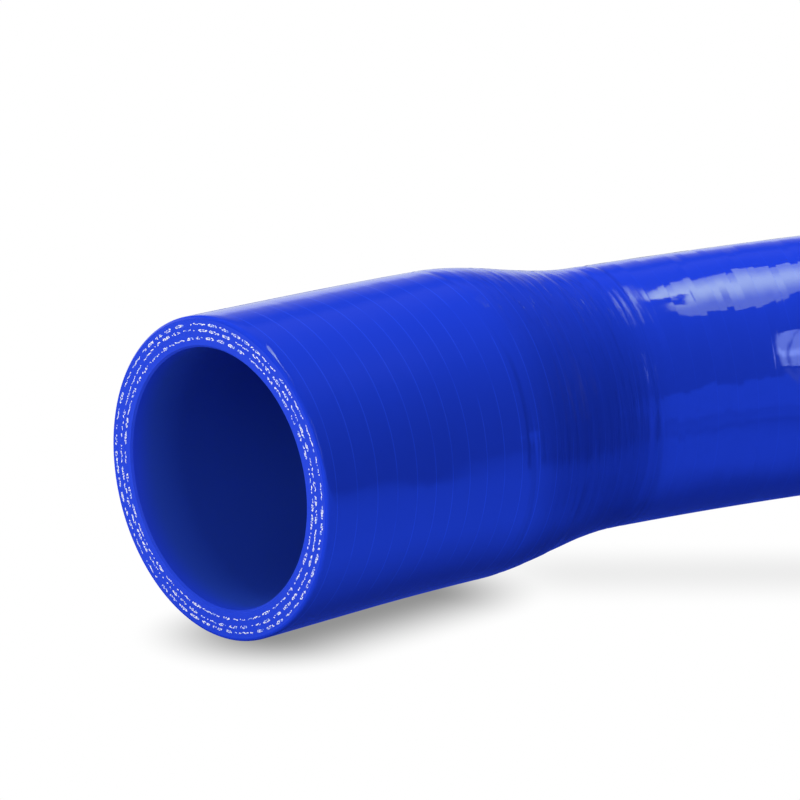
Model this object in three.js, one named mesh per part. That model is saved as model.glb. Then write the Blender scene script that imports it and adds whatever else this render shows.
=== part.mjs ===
// Radiator hose: one moulded tube of fabric-reinforced silicone rubber, open right through,
// with a larger cuff at each end. Millimetres, +Z up. The hose lies as it comes to rest on a
// floor: on the lower edge of its near mouth, on the outside of its elbow and on its far cuff.
import * as THREE from 'three';

// Section of the hose
const cuffBore = 38;
const bodyBore = 31.3;
const wall = 4.5;

// Each cuff, and the taper between it and the body, measured along the hose
const cuffLength = 43;
const taperLength = 26;

// Edges of the two cut faces
const outerEdgeRound = 0.6;
const boreEdgeBevel = 0.3;

// Route of the centreline: four straight legs with a round bend between each and the next.
// A heading is a leg's direction seen from above, anticlockwise from +X in degrees, and a
// climb is its slope above the floor. The near leg heads along +X.
const nearLegStraight = 19.8;
const nearLegClimb = 4.5;
const gentleBendRadius = 159;
const risingLegStraight = 1;
const risingLegHeading = -39.8;
const risingLegClimb = 6;
const crownBendRadius = 150;
const fallingLegStraight = 15.6;
const fallingLegHeading = -40.5;
const fallingLegClimb = -12.8;
const elbowBendRadius = 60;
const farLegStraight = 82.5;
const farLegHeading = 44;
const farLegClimb = 4;

// Steps of the faceted surface
const roundSteps = 44;
const stationStep = 8;
const edgeSteps = 3;

// A unit direction from a heading and a climb, both in degrees
function direction(heading, climb) {
  const plan = THREE.MathUtils.degToRad(heading);
  const slope = THREE.MathUtils.degToRad(climb);
  return new THREE.Vector3(
    Math.cos(slope) * Math.cos(plan),
    Math.cos(slope) * Math.sin(plan),
    Math.sin(slope),
  );
}

// The route as straight and round stretches, in order. A round one also has the axis that
// it turns about.
function makeStretches() {
  const legs = [
    { straight: nearLegStraight, along: direction(0, nearLegClimb) },
    { straight: risingLegStraight, along: direction(risingLegHeading, risingLegClimb) },
    { straight: fallingLegStraight, along: direction(fallingLegHeading, fallingLegClimb) },
    { straight: farLegStraight, along: direction(farLegHeading, farLegClimb) },
  ];
  const bendRadii = [gentleBendRadius, crownBendRadius, elbowBendRadius];
  const found = [{ length: legs[0].straight }];
  bendRadii.forEach((radius, i) => {
    const from = legs[i].along;
    const to = legs[i + 1].along;
    const axis = new THREE.Vector3().crossVectors(from, to).normalize();
    found.push({ length: radius * from.angleTo(to), radius, axis });
    found.push({ length: legs[i + 1].straight });
  });
  return found;
}

const stretches = makeStretches();
const hoseLength = stretches.reduce((sum, stretch) => sum + stretch.length, 0);
const alongHose = new THREE.Vector3(0, 1, 0);

// Place and turn of the section at a distance s along the centreline. The section's own
// Y axis points along the hose, and the section never twists about it.
function poseAt(s) {
  const place = new THREE.Vector3();
  const start = direction(0, nearLegClimb);
  const turn = new THREE.Quaternion().setFromUnitVectors(alongHose, start);
  let left = s;
  for (const stretch of stretches) {
    const step = Math.min(left, stretch.length);
    const along = alongHose.clone().applyQuaternion(turn);
    if (stretch.axis) {
      const toCentre = new THREE.Vector3().crossVectors(stretch.axis, along);
      const centre = place.clone().addScaledVector(toCentre, stretch.radius);
      const swing = new THREE.Quaternion();
      swing.setFromAxisAngle(stretch.axis, step / stretch.radius);
      place.sub(centre).applyQuaternion(swing).add(centre);
      turn.premultiply(swing);
    } else {
      place.addScaledVector(along, step);
    }
    left -= step;
  }
  return { place, turn };
}

// How far the section has gone from body to cuff at a distance s: 1 on a cuff, 0 on the body
function cuffShare(s) {
  const fromEnd = Math.min(s, hoseLength - s);
  return 1 - THREE.MathUtils.smoothstep(fromEnd, cuffLength, cuffLength + taperLength);
}

function boreRadiusAt(s) {
  return THREE.MathUtils.lerp(bodyBore, cuffBore, cuffShare(s)) / 2;
}

function outerRadiusAt(s) {
  return boreRadiusAt(s) + wall;
}

// The rounded outer edge of a cut face, in the wall's profile of the straightened hose: X is
// the radius and Y the distance along the hose
function edgeArc(centreRadius, centreAlong, fromAngle, toAngle) {
  const points = [];
  for (let i = 0; i <= edgeSteps; i++) {
    const angle = THREE.MathUtils.lerp(fromAngle, toAngle, i / edgeSteps);
    points.push(new THREE.Vector2(
      centreRadius + outerEdgeRound * Math.cos(angle),
      centreAlong + outerEdgeRound * Math.sin(angle),
    ));
  }
  return points;
}

// The wall's closed profile: along the outside, over the far cut face, back along the bore
// and over the near cut face
function wallProfile() {
  const cuffRadius = cuffBore / 2;
  const edgeCentreRadius = cuffRadius + wall - outerEdgeRound;
  const count = Math.ceil((hoseLength - 2 * outerEdgeRound) / stationStep);
  const outside = [];
  const bore = [];
  for (let i = 1; i < count; i++) {
    const s = THREE.MathUtils.lerp(outerEdgeRound, hoseLength - outerEdgeRound, i / count);
    outside.push(new THREE.Vector2(outerRadiusAt(s), s));
    bore.unshift(new THREE.Vector2(boreRadiusAt(s), s));
  }
  const nearEdge = edgeArc(edgeCentreRadius, outerEdgeRound, -Math.PI / 2, 0);
  const farEdge = edgeArc(edgeCentreRadius, hoseLength - outerEdgeRound, 0, Math.PI / 2);
  const farBoreEdge = [
    new THREE.Vector2(cuffRadius + boreEdgeBevel, hoseLength),
    new THREE.Vector2(cuffRadius, hoseLength - boreEdgeBevel),
  ];
  const nearBoreEdge = [
    new THREE.Vector2(cuffRadius, boreEdgeBevel),
    new THREE.Vector2(cuffRadius + boreEdgeBevel, 0),
  ];
  const profile = [
    ...nearEdge, ...outside, ...farEdge, ...farBoreEdge, ...bore, ...nearBoreEdge,
  ];
  profile.push(profile[0].clone());
  return profile;
}

// Bends the straight lathed hose along its route
function bendAlongRoute(geometry) {
  const position = geometry.getAttribute('position');
  const point = new THREE.Vector3();
  for (let i = 0; i < position.count; i++) {
    point.fromBufferAttribute(position, i);
    const pose = poseAt(point.y);
    point.setY(0).applyQuaternion(pose.turn).add(pose.place);
    position.setXYZ(i, point.x, point.y, point.z);
  }
  return geometry;
}

function makeHose() {
  const geometry = bendAlongRoute(new THREE.LatheGeometry(wallProfile(), roundSteps));
  geometry.computeBoundingBox();
  const box = geometry.boundingBox;
  const middle = box.getCenter(new THREE.Vector3());
  geometry.translate(-middle.x, -middle.y, -box.min.z);
  geometry.computeVertexNormals();
  const blueSilicone = new THREE.MeshStandardMaterial({
    color: 0x1c3ccf,
    roughness: 0.3,
    metalness: 0,
  });
  const hose = new THREE.Mesh(geometry, blueSilicone);
  hose.name = 'hose';
  return hose;
}

const radiatorHose = new THREE.Group();
radiatorHose.add(makeHose());

export default radiatorHose;
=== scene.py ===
"""Looks of the moulded radiator hose: its blue silicone skin with wrap lines and folds, the
fabric ends in its two cut faces, and a plain white studio. Everything is in metres."""
import math
import bpy
import numpy as np
from mathutils import Matrix, Quaternion, Vector


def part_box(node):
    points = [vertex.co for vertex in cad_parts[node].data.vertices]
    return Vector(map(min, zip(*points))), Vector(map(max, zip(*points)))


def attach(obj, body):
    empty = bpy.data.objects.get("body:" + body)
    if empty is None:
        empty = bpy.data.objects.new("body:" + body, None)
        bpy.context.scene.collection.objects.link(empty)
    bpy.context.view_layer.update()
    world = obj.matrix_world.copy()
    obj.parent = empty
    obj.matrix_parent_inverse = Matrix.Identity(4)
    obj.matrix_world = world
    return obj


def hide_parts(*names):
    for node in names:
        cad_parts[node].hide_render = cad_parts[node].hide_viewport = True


# Section of the hose
CUFF_BORE = 0.038
BODY_BORE = 0.0313
WALL = 0.0045
CUFF_LENGTH = 0.043
TAPER_LENGTH = 0.026
OUTER_EDGE_ROUND = 0.0005
BORE_EDGE_BEVEL = 0.0003

# Route: straight legs with a round bend between each and the next, in metres and degrees
LEG_STRAIGHTS = (0.0198, 0.001, 0.0156, 0.0825)
LEG_HEADINGS = (0, -39.8, -40.5, 44)
LEG_CLIMBS = (4.5, 6, -12.8, 4)
BEND_RADII = (0.159, 0.150, 0.060)

# Mesh steps, and how far the fine ones go on before and after the folds
AROUND = 176
CUFF_STEP = 0.0011
FOLD_STEP = 0.00028
FOLD_MARGINS = (0.001, 0.002)
BODY_STEP = 0.0017
BORE_STEP = 0.009
EDGE_STEPS = 5
FACE_STEPS = 6

# Folds in the skin, where each cuff narrows and the hose starts to bend. They lie closest
# together on the inside of the bend, and each runs part of the way round, on a slant.
FOLD_COUNT = 200
FOLD_ZONE = (-0.002, 0.029)
FOLD_DEPTHS = (-0.00004, 0.00003)
FOLD_WIDTHS = (0.0003, 0.00055)
INSIDE_OF_BEND = math.pi
FOLD_SPREAD = 1.1
FOLD_HALF_ANGLES = (0.4, 1.3)
FOLD_SLANTS = (-0.0012, 0.0012)

# The fold depth at which a fold gets its painted shade in full, and the largest share of it that
# counts
FULL_FOLD_DEPTH = 0.0001
MOST_FOLD_DEPTH = 0.45

# Finer wrinkles and creases in the same place: where past the cuff they start, are full,
# start to fade and end, how often they come round the hose and in one turn of the tape
CREASE_ZONE = (-0.004, 0.008, 0.022, 0.032)
WRINKLES_ROUND = 1.6
WRINKLES_ALONG = 4.2
WRINKLE_HEIGHT = 0.00006
CREASE_DEPTH = 0.000010
CREASE_HALF_WIDTH = 0.05

# How much painted shade, a darker blue, shows in folds, in creases and inside the bend
FOLD_SHADE_SHARE = 0.8
CREASE_SHADE_SHARE = 0.5
INSIDE_BEND_SHADE_SHARE = 0.38
INSIDE_SHADE_COSINES = (-0.75, 0.0)

# Tape that was wrapped round the hose while it cured: its pitch, and the marks it left
WRAP_PITCH = 0.0038
WRAP_LINE_WIDTH = 0.00016
WRAP_LINE_HEIGHT = 0.0000025
WRAP_STEP_HEIGHT = 0.000015
WRAP_STEP_SCALE = 2.3
LINE_SHARE = 0.7
LINE_PATCH_SCALE = 120.0
LINE_PATCHES = (0.28, 0.52)
LINE_ON_BODY = 0.25
LINE_FADES = CUFF_LENGTH * 0.9

# Each turn of the tape left strips in the skin that lean a little, more on the body
STRIPS_PER_TURN = 3.0
LEAN_SCALE = 8.6
CUFF_LEAN = 0.05
BODY_LEAN = 0.13
BODY_START = CUFF_LENGTH + TAPER_LENGTH * 0.5
BODY_FULL = CUFF_LENGTH + TAPER_LENGTH

# Gloss of the plain skin and of the folded skin, which reaches further on top
RUBBER_IOR = 1.45
SKIN_SPECULAR = 0.5
SKIN_ROUGHNESS = 0.035
FOLDED_SPECULAR = 0.18
FOLDED_ROUGHNESS = 0.09
FOLDED_TOP_REACH = 0.004
WAVE_SCALE = 200.0
WAVE_HEIGHT = 0.000008

# Cut faces, and where the painted shade in the bore starts and is full, from each mouth
GRAIN_SCALE = 1400.0
GRAIN_HEIGHT = 0.00002
BORE_SHADE_START = (-0.001, 0.0045)

# Plies of fabric in the wall: how far each lies from the outside, as shares of the wall, and
# the waves in which it leaves its circle, as (how many round the hose, height)
PLY_DEPTHS = (0.26, 0.485, 0.70)
PLY_WAVES = ((2, 0.00010), (5, 0.00006))

# Bundles of yarn in a ply, and the thinner runs between them
BUNDLE_LENGTHS = (0.0013, 0.0021)
BUNDLE_GAPS = (0.0004, 0.0009)
BUNDLE_SWELL = 0.00016
BUNDLE_LEAN = 0.3
LAYER_SPREADS = (0.5, 1.0)
RUN_SHARE = 0.3
RUN_LENGTHS = (0.0022, 0.0042)
RUN_LEAN = 0.25
RUN_WAVE_HEIGHT = 0.00007
RUN_WAVE_LENGTH = 0.0013

# The cut end of one yarn: where it lies in its step, its size, and its dome's two rings as
# shares of its width and height
STROKE_STEP = 0.00036
STROKE_PLACES = (0.3, 0.7)
STROKE_SHIFTS = (-0.3, 0.3)
STROKE_LENGTHS = (0.0002, 0.00062)
STROKE_WIDTHS = (0.00013, 0.00024)
STROKE_HEIGHT = 0.00004
STROKE_SIDES = 6
STROKE_RINGS = ((1.0, -0.3), (0.85, 0.6))
STROKE_SUNK = 0.3
STROKES_KEPT = 0.82
STAINED_YARNS = (0.55, 1.0)

# Camera: its view direction, and where the near mouth's centre lies in it
VIEW_AZIMUTH = -43.15
VIEW_PITCH = 8.0
MOUTH_RIGHT = -0.02605
MOUTH_DOWN = 0.01127
MOUTH_AHEAD = 0.48333
LENS = 153.57
SENSOR = 36.0

# Colours of the rubber and the fabric, linear, with darker blues that are painted shade in the
# folds and deep in the bore
SKIN_BLUE = (0.0135, 0.052, 0.72, 1)
LINE_BLUE = (0.022, 0.085, 0.98, 1)
# Painted shade for folds, creases and the inside of the bend
FOLD_SHADE_BLUE = (0.006, 0.024, 0.36, 1)
CUT_BLUE = (0.018, 0.062, 0.72, 1)
# Painted shade deep in the bore
BORE_SHADE_BLUE = (0.020, 0.066, 0.49, 1)
FABRIC_WHITE = (0.93, 0.95, 1.0, 1)
FABRIC_BLUE = (0.3, 0.45, 0.95, 1)

# Studio. From here on, places are (right, away) from the near mouth as the camera looks.
AMBIENT = 0.29
FLOOR_SIZE = 6.0
FLOOR_BOUNCE = 0.37
FLOOR_IN_SKIN = (0.075, 0.28, 3.2, 1)
ROOM_IN_SKIN = (0.012, 0.014, 0.02, 1)

# What the skin mirrors of the room behind the hose: (height, level), and its tint
SKY_STOPS = (
    (0.0, 0.85), (0.24, 0.85), (0.33, 0.36), (0.45, 0.15), (0.54, 0.03), (0.60, 0.02),
    (0.67, 0.10), (0.74, 0.08), (0.82, 0.02),
)
SKY_TINT = (0.97, 1.03, 0.98)
SKY_BEHIND = (0.0, 0.3)
# In front, the mirrored floor goes on a little above the horizon
LOW_FRONT_AWAY = (-0.6, -0.42)
LOW_FRONT_HEIGHT = (0.07, 0.12)

# Lamps: name, bearing in degrees from the view's right, climb, reach, size and level
LAMPS = (
    ("overhead_behind", 90, 70, 0.75, 0.4, 0.86),
    ("front_left", -128, 12, 1.1, 0.5, 0.38),
    ("left", -175, 10, 1.0, 0.5, 0.38),
    ("front", -95, 10, 0.6, 0.3, 0.06),
)
LAMP_TARGET = (0.05, 0.02)

# Shade on the floor round lines: start, end, how much the away direction is flattened, how
# far from the line the shade starts and stops fading, and its darkest level
SHADES = (
    ((0.008, 0.007), (0.028, 0.036), 0.7, (0.002, 0.0212), 0.29),
    ((0.155, 0.068), (0.210, 0.078), 1.0, (0.0, 0.040), 0.55),
    ((0.218, 0.110), (0.238, 0.190), 1.0, (0.004, 0.040), 0.45),
)
# The pale band of shade under the body, and where it starts and ends on its way right
BAND_AWAY = 0.052
BAND_HALF_WIDTH = 0.028
BAND_DARKEST = 0.85
BAND_STARTS = (0.03, 0.055)
BAND_ENDS = (0.15, 0.22)

# The floor that the skin mirrors. It ends at a far edge, a line given by a point on it and
# the way past it, which starts right of the cuff.
FAR_EDGE_POINT = (0.19, -0.02)
FAR_EDGE_PAST = (0.17, 0.985)
FAR_EDGE_STARTS = (0.1, 0.13)
EDGE_SOFTNESS = (-0.004, 0.004)
# It darkens towards the right in a wedge in front of the mouth
WEDGE_SLOPE = 0.30
WEDGE_SOFTNESS = (0.0, 0.010)
WEDGE_DARKENS = (0.05, 0.24)
# It is dark close to the hose: in front of the cuff's side and of the body's line, which
# steps away between two places
CUFF_SIDE_PAST = (0.684, -0.73)
BODY_LINE_STEP = (0.082, 0.096)
BODY_LINE_AWAY = (0.052, 0.060)
CLOSE_BY = (0.011, 0.033)
CLOSE_BY_LEVEL = 0.12

# Softbox over the body: its height, its outline with one dark notch, and its hot spot
SOFTBOX_HEIGHT = 0.5
SOFTBOX_OUTLINE = (
    (0.145, 0.270), (0.159, 0.262), (0.178, 0.219), (0.212, 0.130), (0.221, 0.090),
    (0.203, 0.133), (0.209, 0.107), (0.241, 0.036), (0.238, 0.055), (0.277, -0.017),
    (0.291, -0.064), (0.275, -0.080), (0.255, -0.075), (0.224, -0.030), (0.145, 0.040),
)
SOFTBOX_COLOUR = (2.2, 2.65, 1.15, 1)
SOFTBOX_HOT_SPOT = (0.215, 0.115)
SOFTBOX_HOT_SIZE = 0.14
SOFTBOX_HOT_GAIN = 3.1

# Window low at the right, with its places as (sideways, height) from its middle. Each pane is
# its brightness and its corners.
WINDOW_BEARING = -50
WINDOW_RIGHT = 0.08
WINDOW_REACH = 0.6
WINDOW_COLOUR = (3.0, 4.0, 7.0)
WINDOW_PANES = (
    (1.0, ((-0.012, 0.165), (-0.0185, 0.165), (-0.0105, 0.58), (0.013, 0.58), (-0.007, 0.30))),
    (1.0, ((-0.0215, 0.165), (-0.085, 0.165), (-0.070, 0.57), (-0.0135, 0.57))),
    (0.13, ((-0.012, 0.0), (-0.0185, 0.0), (-0.0185, 0.145), (-0.011, 0.145))),
    (0.13, ((-0.0215, 0.0), (-0.080, 0.0), (-0.080, 0.145), (-0.0215, 0.145))),
)
WINDOW_HOT_SPOT = (-0.012, 0.3)
WINDOW_HOT_SIZE = 0.06
WINDOW_HOT_GAIN = 2.0

SEED = 11


def direction(heading, climb):
    """A unit direction from a heading and a climb, both in degrees."""
    plan = math.radians(heading)
    slope = math.radians(climb)
    return Vector((
        math.cos(slope) * math.cos(plan),
        math.cos(slope) * math.sin(plan),
        math.sin(slope),
    ))


def route_stretches():
    """The route as (length, bend radius or None, axis or None), in order."""
    legs = [direction(h, c) for h, c in zip(LEG_HEADINGS, LEG_CLIMBS)]
    found = [(LEG_STRAIGHTS[0], None, None)]
    for i, radius in enumerate(BEND_RADII):
        turn = legs[i].angle(legs[i + 1])
        axis = legs[i].cross(legs[i + 1]).normalized()
        found.append((radius * turn, radius, axis))
        found.append((LEG_STRAIGHTS[i + 1], None, None))
    return found


STRETCHES = route_stretches()
HOSE_LENGTH = sum(stretch[0] for stretch in STRETCHES)


def pose_at(s):
    """Centre of the section at s along the hose, and its along, side and up directions."""
    place = Vector((0, 0, 0))
    along = direction(LEG_HEADINGS[0], LEG_CLIMBS[0])
    side = Vector((0, 0, 1)).cross(along).normalized()
    up = along.cross(side)
    left = s
    for length, radius, axis in STRETCHES:
        step = min(left, length)
        if radius is None:
            place = place + along * step
        else:
            centre = place + axis.cross(along) * radius
            swing = Quaternion(axis, step / radius)
            place = centre + swing @ (place - centre)
            along = swing @ along
            side = swing @ side
            up = swing @ up
        left -= step
    return place, along, side, up


def smoothstep(x, low, high):
    t = np.clip((np.asarray(x, float) - low) / (high - low), 0, 1)
    return t * t * (3 - 2 * t)


def bore_radius(s):
    """Full on a cuff, slimmer on the body, and smoothly between them on a taper."""
    from_end = np.minimum(s, HOSE_LENGTH - np.asarray(s, float))
    slimness = smoothstep(from_end, CUFF_LENGTH, CUFF_LENGTH + TAPER_LENGTH)
    return (CUFF_BORE + (BODY_BORE - CUFF_BORE) * slimness) / 2


def fold(s, theta, place, width):
    """One fold in the skin: a bell across, running round part of the hose on a slant."""
    at, centre, half_angle, slant = place
    away = (theta - centre + math.pi) % (2 * math.pi) - math.pi
    across = (s - at - slant * away) / width
    reach = np.clip(1 - (away / half_angle) ** 2, 0, 1)
    return np.exp(-across * across) * reach


def relief(s, theta):
    """Height of the skin above its plain radius: the folds past each cuff."""
    rng = np.random.RandomState(SEED)
    height = np.zeros_like(s)
    for cuff_end, facing in ((CUFF_LENGTH, 1), (HOSE_LENGTH - CUFF_LENGTH, -1)):
        for _ in range(FOLD_COUNT):
            place = (
                cuff_end + facing * rng.uniform(*FOLD_ZONE),
                INSIDE_OF_BEND + rng.normal(0, FOLD_SPREAD),
                rng.uniform(*FOLD_HALF_ANGLES),
                rng.uniform(*FOLD_SLANTS),
            )
            height += rng.uniform(*FOLD_DEPTHS) * fold(s, theta, place, rng.uniform(*FOLD_WIDTHS))
    return height


def outer_stations():
    """Distances along the outside, close together where the folds are."""
    fold_start = CUFF_LENGTH + FOLD_ZONE[0] - FOLD_MARGINS[0]
    fold_end = CUFF_LENGTH + FOLD_ZONE[1] + FOLD_MARGINS[1]
    cuff = np.arange(OUTER_EDGE_ROUND + CUFF_STEP, fold_start, CUFF_STEP)
    folds = np.arange(fold_start, fold_end, FOLD_STEP)
    near = np.concatenate([cuff, folds])
    middle = np.arange(near[-1] + BODY_STEP, HOSE_LENGTH - near[-1] - BODY_STEP / 2, BODY_STEP)
    return np.concatenate([near, middle, (HOSE_LENGTH - near)[::-1]])


# The surfaces of the moulding, as the numbers of their materials
OUTSIDE = 0
CUT = 1
INSIDE = 2


def profile_rows():
    """The wall's closed profile as rows of (radius, distance along, which surface)."""
    edge_centre = CUFF_BORE / 2 + WALL - OUTER_EDGE_ROUND
    edge = [
        (edge_centre + OUTER_EDGE_ROUND * math.sin(a), OUTER_EDGE_ROUND * (1 - math.cos(a)))
        for a in np.linspace(0, math.pi / 2, EDGE_STEPS + 1)
    ]
    face_radii = np.linspace(CUFF_BORE / 2 + BORE_EDGE_BEVEL, edge_centre, FACE_STEPS)[:-1]
    bore_ends = (HOSE_LENGTH - BORE_EDGE_BEVEL, BORE_EDGE_BEVEL)
    rows = [(r, 0.0, CUT) for r in face_radii]
    rows += [(r, s, OUTSIDE if s else CUT) for r, s in edge]
    rows += [(float(bore_radius(s)) + WALL, s, OUTSIDE) for s in outer_stations()]
    rows += [(r, HOSE_LENGTH - s, OUTSIDE if s else CUT) for r, s in edge[::-1]]
    rows += [(r, HOSE_LENGTH, CUT) for r in face_radii[::-1]]
    rows += [
        (float(bore_radius(s)), s, INSIDE)
        for s in np.linspace(*bore_ends, int(HOSE_LENGTH / BORE_STEP))
    ]
    return rows


def face_looks(surface, along):
    """For the faces between each row and the next: their surface, and whether they are smooth.
    The cut faces stay flat, and so do the bevels at the bore's mouths."""
    next_surface = np.roll(surface, -1)
    kinds = np.maximum(surface, next_surface)
    kinds[(surface == CUT) | (next_surface == CUT)] = CUT
    kinds[(surface == OUTSIDE) | (next_surface == OUTSIDE)] = OUTSIDE
    flat = (along == np.roll(along, -1)) | ((surface == INSIDE) != (next_surface == INSIDE))
    return kinds, ~flat


def skin_mesh():
    """The whole moulding as one closed mesh. Its map has u round the hose and v in turns of
    the tape along it."""
    rows = profile_rows()
    theta = np.arange(AROUND) * 2 * math.pi / AROUND
    radius = np.array([r for r, _, _ in rows])
    along = np.array([s for _, s, _ in rows])
    surface = np.array([k for _, _, k in rows])
    poses = [pose_at(s) for s in along]
    centre = np.array([p[0] for p in poses])[:, None, :]
    side = np.array([p[2] for p in poses])[:, None, :]
    up = np.array([p[3] for p in poses])[:, None, :]
    grid_s, grid_theta = np.meshgrid(along, theta, indexing="ij")
    lift = relief(grid_s, grid_theta) * (surface == OUTSIDE)[:, None]
    reach = radius[:, None] + lift
    points = (
        centre
        + (reach * np.cos(grid_theta))[..., None] * side
        + (reach * np.sin(grid_theta))[..., None] * up
    )
    row = np.arange(len(rows))
    column = np.arange(AROUND)
    next_row = (row + 1) % len(rows)
    next_column = (column + 1) % AROUND
    faces = np.stack([
        row[:, None] * AROUND + column,
        row[:, None] * AROUND + next_column,
        next_row[:, None] * AROUND + next_column,
        next_row[:, None] * AROUND + column,
    ], axis=-1).reshape(-1, 4)
    mesh = bpy.data.meshes.new("hose_skin")
    mesh.from_pydata(points.reshape(-1, 3).tolist(), [], faces.tolist())
    uv = np.zeros((len(rows), AROUND, 4, 2))
    uv[:, :, (0, 3), 0] = (column / AROUND)[None, :, None]
    uv[:, :, (1, 2), 0] = ((column + 1) / AROUND)[None, :, None]
    uv[:, :, (0, 1), 1] = (along / WRAP_PITCH)[:, None, None]
    uv[:, :, (2, 3), 1] = (along[next_row] / WRAP_PITCH)[:, None, None]
    mesh.uv_layers.new(name="along_hose").data.foreach_set("uv", uv.reshape(-1))
    # How deep each point lies in a fold, kept to paint shade into the folds
    fold_depth = np.clip(-lift / FULL_FOLD_DEPTH, 0, MOST_FOLD_DEPTH)
    depth = mesh.attributes.new("fold_depth", "FLOAT", "POINT")
    depth.data.foreach_set("value", fold_depth.reshape(-1))
    kinds, smooth = face_looks(surface, along)
    mesh.polygons.foreach_set("material_index", np.repeat(kinds, AROUND))
    mesh.polygons.foreach_set("use_smooth", np.repeat(smooth, AROUND))
    mesh.update()
    return mesh


def link(name, data):
    """A new object in the scene, from its mesh, lamp or camera data."""
    made = bpy.data.objects.new(name, data)
    bpy.context.scene.collection.objects.link(made)
    return made


class Nodes:
    """Short calls for building one node tree."""

    def __init__(self, tree):
        self.tree = tree

    def add(self, kind, **settings):
        node = self.tree.nodes.new(kind)
        for key, value in settings.items():
            setattr(node, key, value)
        return node

    def feed(self, target, value):
        if isinstance(value, bpy.types.NodeSocket):
            self.tree.links.new(value, target)
        else:
            target.default_value = value

    def math(self, operation, a, b=0.0):
        node = self.add("ShaderNodeMath", operation=operation)
        self.feed(node.inputs[0], a)
        self.feed(node.inputs[1], b)
        return node.outputs[0]

    def plus(self, a, b):
        return self.math("ADD", a, b)

    def minus(self, a, b):
        return self.math("SUBTRACT", a, b)

    def times(self, a, b):
        return self.math("MULTIPLY", a, b)

    def larger(self, a, b):
        return self.math("MAXIMUM", a, b)

    def smaller(self, a, b):
        return self.math("MINIMUM", a, b)

    def ramp(self, value, low, high, to_low=0.0, to_high=1.0):
        node = self.add("ShaderNodeMapRange", interpolation_type="SMOOTHSTEP")
        self.feed(node.inputs["Value"], value)
        node.inputs["From Min"].default_value = low
        node.inputs["From Max"].default_value = high
        node.inputs["To Min"].default_value = to_low
        node.inputs["To Max"].default_value = to_high
        return node.outputs["Result"]

    def noise(self, vector, scale, detail=2.0):
        node = self.add("ShaderNodeTexNoise")
        self.feed(node.inputs["Vector"], vector)
        node.inputs["Scale"].default_value = scale
        node.inputs["Detail"].default_value = detail
        return node.outputs["Fac"]

    def noise_along(self, value, scale, detail=2.0):
        node = self.add("ShaderNodeTexNoise", noise_dimensions="1D")
        self.feed(node.inputs["W"], value)
        node.inputs["Scale"].default_value = scale
        node.inputs["Detail"].default_value = detail
        return node.outputs["Fac"]

    def mix(self, share, a, b):
        node = self.add("ShaderNodeMix", data_type="RGBA")
        self.feed(node.inputs[0], share)
        self.feed(node.inputs[6], a)
        self.feed(node.inputs[7], b)
        return node.outputs[2]

    def dot(self, vector, axis):
        node = self.add("ShaderNodeVectorMath", operation="DOT_PRODUCT")
        self.feed(node.inputs[0], vector)
        self.feed(node.inputs[1], axis)
        return node.outputs["Value"]

    def bump(self, height, target, normal=None):
        node = self.add("ShaderNodeBump")
        node.inputs["Distance"].default_value = 1.0
        self.feed(node.inputs["Height"], height)
        if normal is not None:
            self.feed(node.inputs["Normal"], normal)
        self.feed(target, node.outputs["Normal"])

    def leaned(self, map_name, lean):
        """The surface's normal, leaned round the hose by a small angle."""
        round_hose = self.add("ShaderNodeTangent", direction_type="UV_MAP", uv_map=map_name)
        scaled = self.add("ShaderNodeVectorMath", operation="SCALE")
        self.feed(scaled.inputs[0], round_hose.outputs["Tangent"])
        self.feed(scaled.inputs["Scale"], lean)
        total = self.add("ShaderNodeVectorMath", operation="ADD")
        self.feed(total.inputs[0], self.add("ShaderNodeNewGeometry").outputs["Normal"])
        self.feed(total.inputs[1], scaled.outputs[0])
        unit = self.add("ShaderNodeVectorMath", operation="NORMALIZE")
        self.feed(unit.inputs[0], total.outputs[0])
        return unit.outputs[0]


def new_material(name, roughness, specular):
    material = bpy.data.materials.new(name)
    material.use_nodes = True
    shader = material.node_tree.nodes["Principled BSDF"]
    shader.inputs["Roughness"].default_value = roughness
    shader.inputs["IOR"].default_value = RUBBER_IOR
    shader.inputs["Specular IOR Level"].default_value = specular
    return material, Nodes(material.node_tree), shader


def new_glow(name):
    """A material without a shader, for what gives out light by its own nodes."""
    material = bpy.data.materials.new(name)
    material.use_nodes = True
    n = Nodes(material.node_tree)
    n.tree.nodes.remove(n.tree.nodes["Principled BSDF"])
    return material, n


def turns_along(n):
    """The skin's own map: u round the hose, v in turns of the tape along it, and the turns
    from the nearer mouth."""
    split = n.add("ShaderNodeSeparateXYZ")
    n.feed(split.inputs[0], n.add("ShaderNodeUVMap", uv_map="along_hose").outputs["UV"])
    v = split.outputs["Y"]
    from_mouth = n.smaller(v, n.minus(HOSE_LENGTH / WRAP_PITCH, v))
    return split.outputs["X"], v, from_mouth


def tape_line(n, phase, from_mouth, place):
    """The raised line at the tape's edge: 1 on it and 0 off it, in patches, faint on the body."""
    from_line = n.math("PINGPONG", phase, 0.5)
    line = n.ramp(from_line, 0.0, WRAP_LINE_WIDTH / WRAP_PITCH, 1.0, 0.0)
    patches = n.ramp(n.noise(place, LINE_PATCH_SCALE, 3.0), *LINE_PATCHES)
    fading = (LINE_FADES / WRAP_PITCH, BODY_START / WRAP_PITCH)
    return n.times(n.times(line, patches), n.ramp(from_mouth, *fading, 1.0, LINE_ON_BODY))


def crease_zone(n, from_mouth, further=0.0):
    """1 where the skin is folded and creased and 0 elsewhere. further moves its inner end."""
    start, full, fades, end = [(CUFF_LENGTH + at) / WRAP_PITCH for at in CREASE_ZONE]
    ending = n.ramp(n.minus(from_mouth, further), fades, end, 1.0, 0.0)
    return n.times(n.ramp(from_mouth, start, full), ending)


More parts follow.
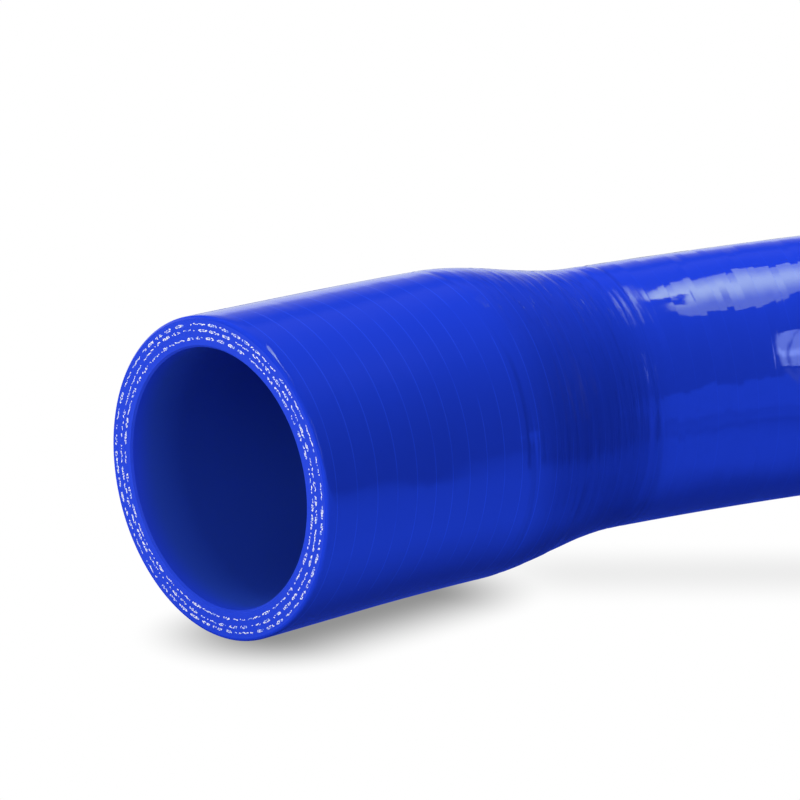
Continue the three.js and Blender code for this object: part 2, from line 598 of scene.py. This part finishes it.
def skin_material():
    """Glossy silicone with the thin raised lines and slight steps that the tape left, and duller
    creases where the skin is folded, with painted shade in its folds and creases and inside the
    bend."""
    material, n, shader = new_material("blue_silicone", SKIN_ROUGHNESS, SKIN_SPECULAR)
    place = n.add("ShaderNodeTexCoord").outputs["Object"]
    u, v, from_mouth = turns_along(n)
    phase = n.plus(u, v)
    turn = n.times(u, 2 * math.pi)
    sideways = n.math("COSINE", turn)
    upward = n.math("SINE", turn)
    line = tape_line(n, phase, from_mouth, place)
    in_zone = crease_zone(n, from_mouth)

    round_place = n.add("ShaderNodeCombineXYZ")
    n.feed(round_place.inputs[0], n.times(sideways, WRINKLES_ROUND))
    n.feed(round_place.inputs[1], n.times(upward, WRINKLES_ROUND))
    n.feed(round_place.inputs[2], n.times(v, WRINKLES_ALONG))
    wrinkles = n.noise(round_place.outputs[0], 1.0)
    from_crease = n.math("ABSOLUTE", n.minus(wrinkles, 0.5))
    crease = n.times(n.ramp(from_crease, 0.0, CREASE_HALF_WIDTH, 1.0, 0.0), in_zone)

    # Painted shade: the colour is darker in folds, in creases and on the inside of the bend
    folds = n.add("ShaderNodeAttribute", attribute_name="fold_depth").outputs["Fac"]
    inside_bend_shade = n.ramp(sideways, *INSIDE_SHADE_COSINES, INSIDE_BEND_SHADE_SHARE, 0.0)
    darker = n.larger(n.times(folds, FOLD_SHADE_SHARE), n.times(crease, CREASE_SHADE_SHARE))
    darker = n.larger(darker, n.times(in_zone, inside_bend_shade))
    plain = n.mix(darker, SKIN_BLUE, FOLD_SHADE_BLUE)
    n.feed(shader.inputs["Base Color"], n.mix(n.times(line, LINE_SHARE), plain, LINE_BLUE))

    further = n.times(n.larger(upward, 0.0), FOLDED_TOP_REACH / WRAP_PITCH)
    dull = crease_zone(n, from_mouth, further)
    specular = n.ramp(dull, 0.0, 1.0, SKIN_SPECULAR, FOLDED_SPECULAR)
    n.feed(shader.inputs["Specular IOR Level"], specular)
    n.feed(shader.inputs["Roughness"], n.ramp(dull, 0.0, 1.0, SKIN_ROUGHNESS, FOLDED_ROUGHNESS))

    strip = n.minus(n.math("FLOOR", phase), u)
    step = n.times(n.minus(n.noise_along(strip, WRAP_STEP_SCALE), 0.5), n.math("FRACT", phase))
    tape_height = n.plus(n.times(step, WRAP_STEP_HEIGHT * 2), n.times(line, WRAP_LINE_HEIGHT))
    waves = n.times(n.noise(place, WAVE_SCALE, 1.0), WAVE_HEIGHT)
    wrinkle_height = n.minus(n.times(n.times(wrinkles, in_zone), WRINKLE_HEIGHT),
                             n.times(crease, CREASE_DEPTH))
    height = n.plus(tape_height, n.plus(waves, wrinkle_height))

    strips_passed = n.math("FLOOR", n.times(phase, STRIPS_PER_TURN))
    thin_strip = n.minus(n.math("DIVIDE", strips_passed, STRIPS_PER_TURN), u)
    lean = n.minus(n.noise_along(thin_strip, LEAN_SCALE, 1.0), 0.5)
    from_cuff = (BODY_START / WRAP_PITCH, BODY_FULL / WRAP_PITCH)
    most_lean = n.ramp(from_mouth, *from_cuff, CUFF_LEAN, BODY_LEAN)
    n.bump(height, shader.inputs["Normal"], n.leaned("along_hose", n.times(lean, most_lean)))
    return material


def cut_material():
    """The knife-cut face: the same rubber, duller and faintly rough."""
    material, n, shader = new_material("cut_silicone", roughness=0.45, specular=0.2)
    shader.inputs["Base Color"].default_value = CUT_BLUE
    grain = n.noise(n.add("ShaderNodeTexCoord").outputs["Object"], GRAIN_SCALE, 3.0)
    n.bump(n.times(grain, GRAIN_HEIGHT), shader.inputs["Normal"])
    return material


def bore_material():
    """The bore, which took its smooth face from the mandrel. From a few millimetres inside each
    mouth it has painted shade, a darker blue than the skin."""
    material, n, shader = new_material("bore_painted_shade", roughness=0.4, specular=0.2)
    _, _, from_mouth = turns_along(n)
    start, full = BORE_SHADE_START
    deep = n.ramp(from_mouth, start / WRAP_PITCH, full / WRAP_PITCH)
    # Painted shade: darker blue deeper in the bore
    n.feed(shader.inputs["Base Color"], n.mix(deep, SKIN_BLUE, BORE_SHADE_BLUE))
    return material


def fabric_material():
    """White yarn, with some ends stained by the rubber."""
    material, n, shader = new_material("fabric_white", roughness=0.8, specular=0.2)
    random = n.add("ShaderNodeNewGeometry").outputs["Random Per Island"]
    stained = n.ramp(random, *STAINED_YARNS)
    n.feed(shader.inputs["Base Color"], n.mix(stained, FABRIC_WHITE, FABRIC_BLUE))
    return material


def add_stroke(points, faces, centre, axes, sizes):
    """Adds one cut end of a yarn to a mesh: a small dome on the face, sunk a little into it."""
    along, across, out = axes
    length, width, height = sizes
    first = len(points)
    for spread, lift in STROKE_RINGS:
        for i in range(STROKE_SIDES):
            angle = i * 2 * math.pi / STROKE_SIDES
            points.append(
                centre
                + along * (length / 2 * spread * math.cos(angle))
                + across * (width / 2 * spread * math.sin(angle))
                + out * (height * lift)
            )
    points.append(centre + out * height)
    points.append(centre - out * (height * STROKE_SUNK))
    shoulder = first + STROKE_SIDES
    top = first + 2 * STROKE_SIDES
    bottom = top + 1
    for i in range(STROKE_SIDES):
        j = (i + 1) % STROKE_SIDES
        faces.append((first + i, first + j, shoulder + j, shoulder + i))
        faces.append((shoulder + i, shoulder + j, top))
        faces.append((first + j, first + i, bottom))


def bundle_strokes(rng, length, is_run):
    """Where the cut yarns of one bundle lie, as (distance round, distance out, lean). In a run
    they follow one wave, and otherwise they lie in two layers that swell apart."""
    count = max(3, round(length / STROKE_STEP))
    found = []
    for i in range(count):
        at = (i + rng.uniform(*STROKE_PLACES)) / count
        if is_run:
            out = RUN_WAVE_HEIGHT * math.sin(at * length / RUN_WAVE_LENGTH * 2 * math.pi)
            found.append((at * length, out, rng.normal(0, RUN_LEAN)))
            continue
        swell = BUNDLE_SWELL * math.sqrt(1 - (2 * at - 1) ** 2)
        for layer in (-1, 1):
            lean = rng.normal(0, BUNDLE_LEAN) - layer * BUNDLE_LEAN * (2 * at - 1)
            shift = rng.uniform(*STROKE_SHIFTS) / count
            spread = rng.uniform(*LAYER_SPREADS)
            found.append(((at + shift) * length, layer * swell * spread, lean))
    return found


def fabric_ends(name, s, outward_sign):
    """The white ends of the fabric in one cut face: three rings of short bundles of yarn."""
    rng = np.random.RandomState(SEED + round(s * 1000))
    centre, along, side, up = pose_at(s)
    out = along * outward_sign
    points = []
    faces = []
    for depth in PLY_DEPTHS:
        plain_radius = CUFF_BORE / 2 + WALL * (1 - depth)
        drifts = rng.uniform(0, 2 * math.pi, 2)
        angle = 0.0
        while angle < 2 * math.pi - BUNDLE_LENGTHS[0] / plain_radius:
            is_run = rng.uniform() < RUN_SHARE
            length = rng.uniform(*(RUN_LENGTHS if is_run else BUNDLE_LENGTHS))
            for round_step, out_step, lean in bundle_strokes(rng, length, is_run):
                at = angle + round_step / plain_radius
                wander = sum(
                    height * math.sin(waves * at + drift)
                    for (waves, height), drift in zip(PLY_WAVES, drifts)
                )
                radial = side * math.cos(at) + up * math.sin(at)
                tangent = up * math.cos(at) - side * math.sin(at)
                turned = tangent * math.cos(lean) + radial * math.sin(lean)
                beside = radial * math.cos(lean) - tangent * math.sin(lean)
                sizes = (rng.uniform(*STROKE_LENGTHS), rng.uniform(*STROKE_WIDTHS), STROKE_HEIGHT)
                if rng.uniform() < STROKES_KEPT:
                    place = centre + radial * (plain_radius + wander + out_step)
                    add_stroke(points, faces, place, (turned, beside, out), sizes)
            angle += (length + rng.uniform(*BUNDLE_GAPS)) / plain_radius
    mesh = bpy.data.meshes.new(name)
    mesh.from_pydata([tuple(p) for p in points], [], faces)
    mesh.update()
    return mesh


def make_camera(mouth, right, ahead_flat):
    data = bpy.data.cameras.new("camera")
    data.lens = LENS
    data.sensor_width = SENSOR
    data.clip_start = 0.01
    data.clip_end = 50
    camera = link("camera", data)
    pitch = math.radians(VIEW_PITCH)
    ahead = ahead_flat * math.cos(pitch) - Vector((0, 0, math.sin(pitch)))
    down = -ahead_flat * math.sin(pitch) - Vector((0, 0, math.cos(pitch)))
    camera.location = mouth - right * MOUTH_RIGHT - down * MOUTH_DOWN - ahead * MOUTH_AHEAD
    camera.rotation_mode = "QUATERNION"
    camera.rotation_quaternion = ahead.to_track_quat("-Z", "Y")
    bpy.context.scene.camera = camera


def make_world(ahead_flat):
    """White behind everything. What the glossy skin mirrors is a dim room with a pale band
    low behind the hose, and what lights it softly is even."""
    world = bpy.data.worlds.new("studio")
    bpy.context.scene.world = world
    world.use_nodes = True
    n = Nodes(world.node_tree)
    background = world.node_tree.nodes["Background"]
    toward = n.add("ShaderNodeTexCoord").outputs["Generated"]
    height = n.dot(toward, (0, 0, 1))
    away = n.dot(toward, tuple(ahead_flat))
    sky = n.add("ShaderNodeValToRGB")
    elements = sky.color_ramp.elements
    while len(elements) < len(SKY_STOPS):
        elements.new(0.5)
    for element, (position, level) in zip(elements, SKY_STOPS):
        element.position = position
        element.color = tuple(level * part for part in SKY_TINT) + (1,)
    n.feed(sky.inputs["Fac"], height)
    mirrored = n.mix(n.ramp(away, *SKY_BEHIND), ROOM_IN_SKIN, sky.outputs["Color"])
    low_front = n.times(n.ramp(away, *LOW_FRONT_AWAY, 1.0, 0.0),
                        n.ramp(height, *LOW_FRONT_HEIGHT, 1.0, 0.0))
    mirrored = n.mix(low_front, mirrored, FLOOR_IN_SKIN)
    path = n.add("ShaderNodeLightPath")
    shown = n.larger(path.outputs["Is Camera Ray"], path.outputs["Is Transmission Ray"])
    unseen = n.mix(shown, (AMBIENT, AMBIENT, AMBIENT, 1), (1, 1, 1, 1))
    n.feed(background.inputs["Color"], n.mix(path.outputs["Is Glossy Ray"], unseen, mirrored))
    background.inputs["Strength"].default_value = 1.0


def shade_of_line(n, rightward, depth, line):
    """How light the floor is near one line of shade: its darkest level on it, and 1 far off."""
    start, end, flattening, reach, darkest = line
    span_right = end[0] - start[0]
    span_away = (end[1] - start[1]) * flattening
    span = math.hypot(span_right, span_away)
    off_right = n.minus(rightward, start[0])
    off_away = n.times(n.minus(depth, start[1]), flattening)
    along = n.plus(n.times(off_right, span_right / span), n.times(off_away, span_away / span))
    along = n.larger(n.smaller(along, span), 0.0)
    beside = n.minus(off_right, n.times(along, span_right / span))
    beyond = n.minus(off_away, n.times(along, span_away / span))
    distance = n.math("SQRT", n.plus(n.times(beside, beside), n.times(beyond, beyond)))
    return n.ramp(distance, *reach, darkest, 1.0)


def floor_shade(n, rightward, depth):
    """How light the floor looks: 1 far from the hose, and shaded under and beside it."""
    from_band = n.math("ABSOLUTE", n.minus(depth, BAND_AWAY))
    band = n.ramp(from_band, 0.0, BAND_HALF_WIDTH, 1.0 - BAND_DARKEST, 0.0)
    under_body = n.times(n.ramp(rightward, *BAND_STARTS), n.ramp(rightward, *BAND_ENDS, 1.0, 0.0))
    shade = n.minus(1.0, n.times(band, under_body))
    for line in SHADES:
        shade = n.times(shade, shade_of_line(n, rightward, depth, line))
    return shade


def floor_in_skin(n, rightward, depth):
    """What the skin mirrors of the floor: a pale floor up to its far edge, darker towards the
    right and close to the hose."""
    edge_right, edge_away = FAR_EDGE_POINT
    past_right, past_away = FAR_EDGE_PAST
    past_edge = n.plus(n.times(n.minus(rightward, edge_right), past_right),
                       n.times(n.minus(depth, edge_away), past_away))
    past = n.times(n.ramp(past_edge, *EDGE_SOFTNESS), n.ramp(rightward, *FAR_EDGE_STARTS))
    colour = n.mix(past, FLOOR_IN_SKIN, ROOM_IN_SKIN)

    into_wedge = n.plus(depth, n.times(rightward, WEDGE_SLOPE))
    wedge = n.times(n.ramp(depth, *EDGE_SOFTNESS, 1.0, 0.0), n.ramp(into_wedge, *WEDGE_SOFTNESS))
    darkening = n.times(wedge, n.ramp(rightward, *WEDGE_DARKENS))
    colour = n.mix(darkening, colour, ROOM_IN_SKIN)

    cuff_right, cuff_away = CUFF_SIDE_PAST
    from_cuff = n.plus(n.times(rightward, cuff_right), n.times(depth, cuff_away))
    body_line = n.ramp(rightward, *BODY_LINE_STEP, *BODY_LINE_AWAY)
    from_hose = n.smaller(from_cuff, n.minus(body_line, depth))
    return n.mix(n.ramp(from_hose, *CLOSE_BY, CLOSE_BY_LEVEL, 1.0), ROOM_IN_SKIN, colour)


def make_floor(mouth, right, ahead_flat):
    """A floor that shows as white with soft shade near the hose, that the skin mirrors in its
    own colours, and that gives a little plain light back."""
    half = FLOOR_SIZE / 2
    corners = [(-half, -half, 0), (half, -half, 0), (half, half, 0), (-half, half, 0)]
    mesh = bpy.data.meshes.new("floor")
    mesh.from_pydata(corners, [], [(0, 1, 2, 3)])
    floor = link("floor", mesh)
    material, n = new_glow("white_floor")
    place = n.add("ShaderNodeTexCoord").outputs["Object"]
    rightward = n.minus(n.dot(place, tuple(right)), mouth.dot(right))
    depth = n.minus(n.dot(place, tuple(ahead_flat)), mouth.dot(ahead_flat))
    shade = floor_shade(n, rightward, depth)
    in_skin = floor_in_skin(n, rightward, depth)
    path = n.add("ShaderNodeLightPath")
    diffuse = n.add("ShaderNodeBsdfDiffuse")
    diffuse.inputs["Color"].default_value = (FLOOR_BOUNCE, FLOOR_BOUNCE, FLOOR_BOUNCE, 1)
    bright = n.add("ShaderNodeEmission")
    n.feed(bright.inputs["Color"], n.mix(path.outputs["Is Glossy Ray"], shade, in_skin))
    both = n.add("ShaderNodeMixShader")
    n.feed(both.inputs[0], path.outputs["Is Diffuse Ray"])
    n.feed(both.inputs[1], bright.outputs[0])
    n.feed(both.inputs[2], diffuse.outputs[0])
    n.feed(n.tree.nodes["Material Output"].inputs["Surface"], both.outputs[0])
    mesh.materials.append(material)


def soft_lamp(name, place, target, size, level):
    """A soft square lamp that isn't mirrored. level is how bright it alone makes a white
    surface that faces it at the target."""
    toward = target - place
    data = bpy.data.lights.new(name, "AREA")
    data.size = size
    data.energy = level * (math.pi * toward.length) ** 2
    lamp = link(name, data)
    lamp.location = place
    lamp.rotation_mode = "QUATERNION"
    lamp.rotation_quaternion = toward.to_track_quat("-Z", "Y")
    lamp.visible_camera = False
    lamp.visible_glossy = False


def make_lamps(mouth, right, ahead_flat):
    target_right, target_away = LAMP_TARGET
    target = mouth + right * target_right + ahead_flat * target_away
    for name, bearing, climb, reach, size, level in LAMPS:
        turn = math.radians(bearing)
        rise = math.radians(climb)
        flat_way = right * math.cos(turn) + ahead_flat * math.sin(turn)
        way = flat_way * math.cos(rise) + Vector((0, 0, math.sin(rise)))
        soft_lamp(name, target + way * reach, target, size, level)


def mirrored_card(name, corners, colour, hot_spot, hot_size, hot_gain):
    """A bright card that only shows as a highlight in the skin, brighter at its hot spot."""
    mesh = bpy.data.meshes.new(name)
    mesh.from_pydata([tuple(c) for c in corners], [], [tuple(range(len(corners)))])
    card = link(name, mesh)
    for kind in ("visible_camera", "visible_diffuse", "visible_transmission", "visible_shadow"):
        setattr(card, kind, False)
    material, n = new_glow(name)
    apart = n.add("ShaderNodeVectorMath", operation="DISTANCE")
    n.feed(apart.inputs[0], n.add("ShaderNodeTexCoord").outputs["Object"])
    n.feed(apart.inputs[1], tuple(hot_spot))
    light = n.add("ShaderNodeEmission")
    light.inputs["Color"].default_value = colour
    n.feed(light.inputs["Strength"], n.ramp(apart.outputs["Value"], 0.0, hot_size, hot_gain, 1.0))
    n.feed(n.tree.nodes["Material Output"].inputs["Surface"], light.outputs[0])
    mesh.materials.append(material)


def make_softbox(base, right, ahead_flat):
    """The softbox over the body, which gives the skin its long highlight."""
    def overhead(r, a):
        return base + right * r + ahead_flat * a + Vector((0, 0, SOFTBOX_HEIGHT))

    corners = [overhead(r, a) for r, a in SOFTBOX_OUTLINE]
    hot_spot = overhead(*SOFTBOX_HOT_SPOT)
    mirrored_card("softbox", corners, SOFTBOX_COLOUR, hot_spot, SOFTBOX_HOT_SIZE, SOFTBOX_HOT_GAIN)


def make_window(base, right, ahead_flat):
    """The paned window low at the right, which gives the skin its small highlight."""
    bearing = math.radians(WINDOW_BEARING)
    outward = right * math.cos(bearing) + ahead_flat * math.sin(bearing)
    sideways = Vector((0, 0, 1)).cross(outward)
    middle = base + right * WINDOW_RIGHT + outward * WINDOW_REACH

    def on_window(u, z):
        return middle + sideways * u + Vector((0, 0, z))

    hot_spot = on_window(*WINDOW_HOT_SPOT)
    for i, (level, outline) in enumerate(WINDOW_PANES):
        corners = [on_window(u, z) for u, z in outline]
        colour = tuple(part * level for part in WINDOW_COLOUR) + (1,)
        name = f"window_pane_{i + 1}"
        mirrored_card(name, corners, colour, hot_spot, WINDOW_HOT_SIZE, WINDOW_HOT_GAIN)


def dress_hose(shift):
    """The skin in place of the plain hose, and the fabric ends in its two cut faces."""
    mesh = skin_mesh()
    mesh.transform(shift)
    for material in (skin_material(), cut_material(), bore_material()):
        mesh.materials.append(material)
    skin = link("hose_skin", mesh)
    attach(skin, "root")
    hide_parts("hose")
    white = fabric_material()
    for name, s, sign in (("near_fabric_ends", 0.0, -1), ("far_fabric_ends", HOSE_LENGTH, 1)):
        mesh = fabric_ends(name, s, sign)
        mesh.transform(shift)
        mesh.materials.append(white)
        ends = link(name, mesh)
        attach(ends, "root")


def shift_to_frame():
    """The move from the route's own start to where the hose lies in the frame."""
    low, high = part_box("hose")
    points = []
    for radius, s, _ in profile_rows():
        place, _, side, up = pose_at(s)
        for i in range(AROUND):
            theta = i * 2 * math.pi / AROUND
            points.append(place + (side * math.cos(theta) + up * math.sin(theta)) * radius)
    points = np.array(points)
    least = points.min(0)
    most = points.max(0)
    return Matrix.Translation((
        (low.x + high.x - least[0] - most[0]) / 2,
        (low.y + high.y - least[1] - most[1]) / 2,
        low.z - least[2],
    ))


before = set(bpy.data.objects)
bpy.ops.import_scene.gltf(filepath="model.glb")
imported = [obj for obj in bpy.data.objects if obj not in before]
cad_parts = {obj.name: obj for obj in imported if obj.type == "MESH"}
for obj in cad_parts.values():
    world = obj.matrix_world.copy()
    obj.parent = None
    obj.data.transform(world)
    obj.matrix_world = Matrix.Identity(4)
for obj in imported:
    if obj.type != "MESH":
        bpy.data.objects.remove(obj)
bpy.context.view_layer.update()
shift = shift_to_frame()
dress_hose(shift)

view_turn = math.radians(VIEW_AZIMUTH)
view_right = Vector((math.cos(view_turn), math.sin(view_turn), 0))
view_ahead = Vector((-math.sin(view_turn), math.cos(view_turn), 0))
mouth = shift @ pose_at(0.0)[0]
below_mouth = Vector((mouth.x, mouth.y, 0))
make_camera(mouth, view_right, view_ahead)
make_world(view_ahead)
make_floor(mouth, view_right, view_ahead)
make_softbox(below_mouth, view_right, view_ahead)
make_window(below_mouth, view_right, view_ahead)
make_lamps(mouth, view_right, view_ahead)

bpy.context.scene.view_settings.view_transform = "Standard"
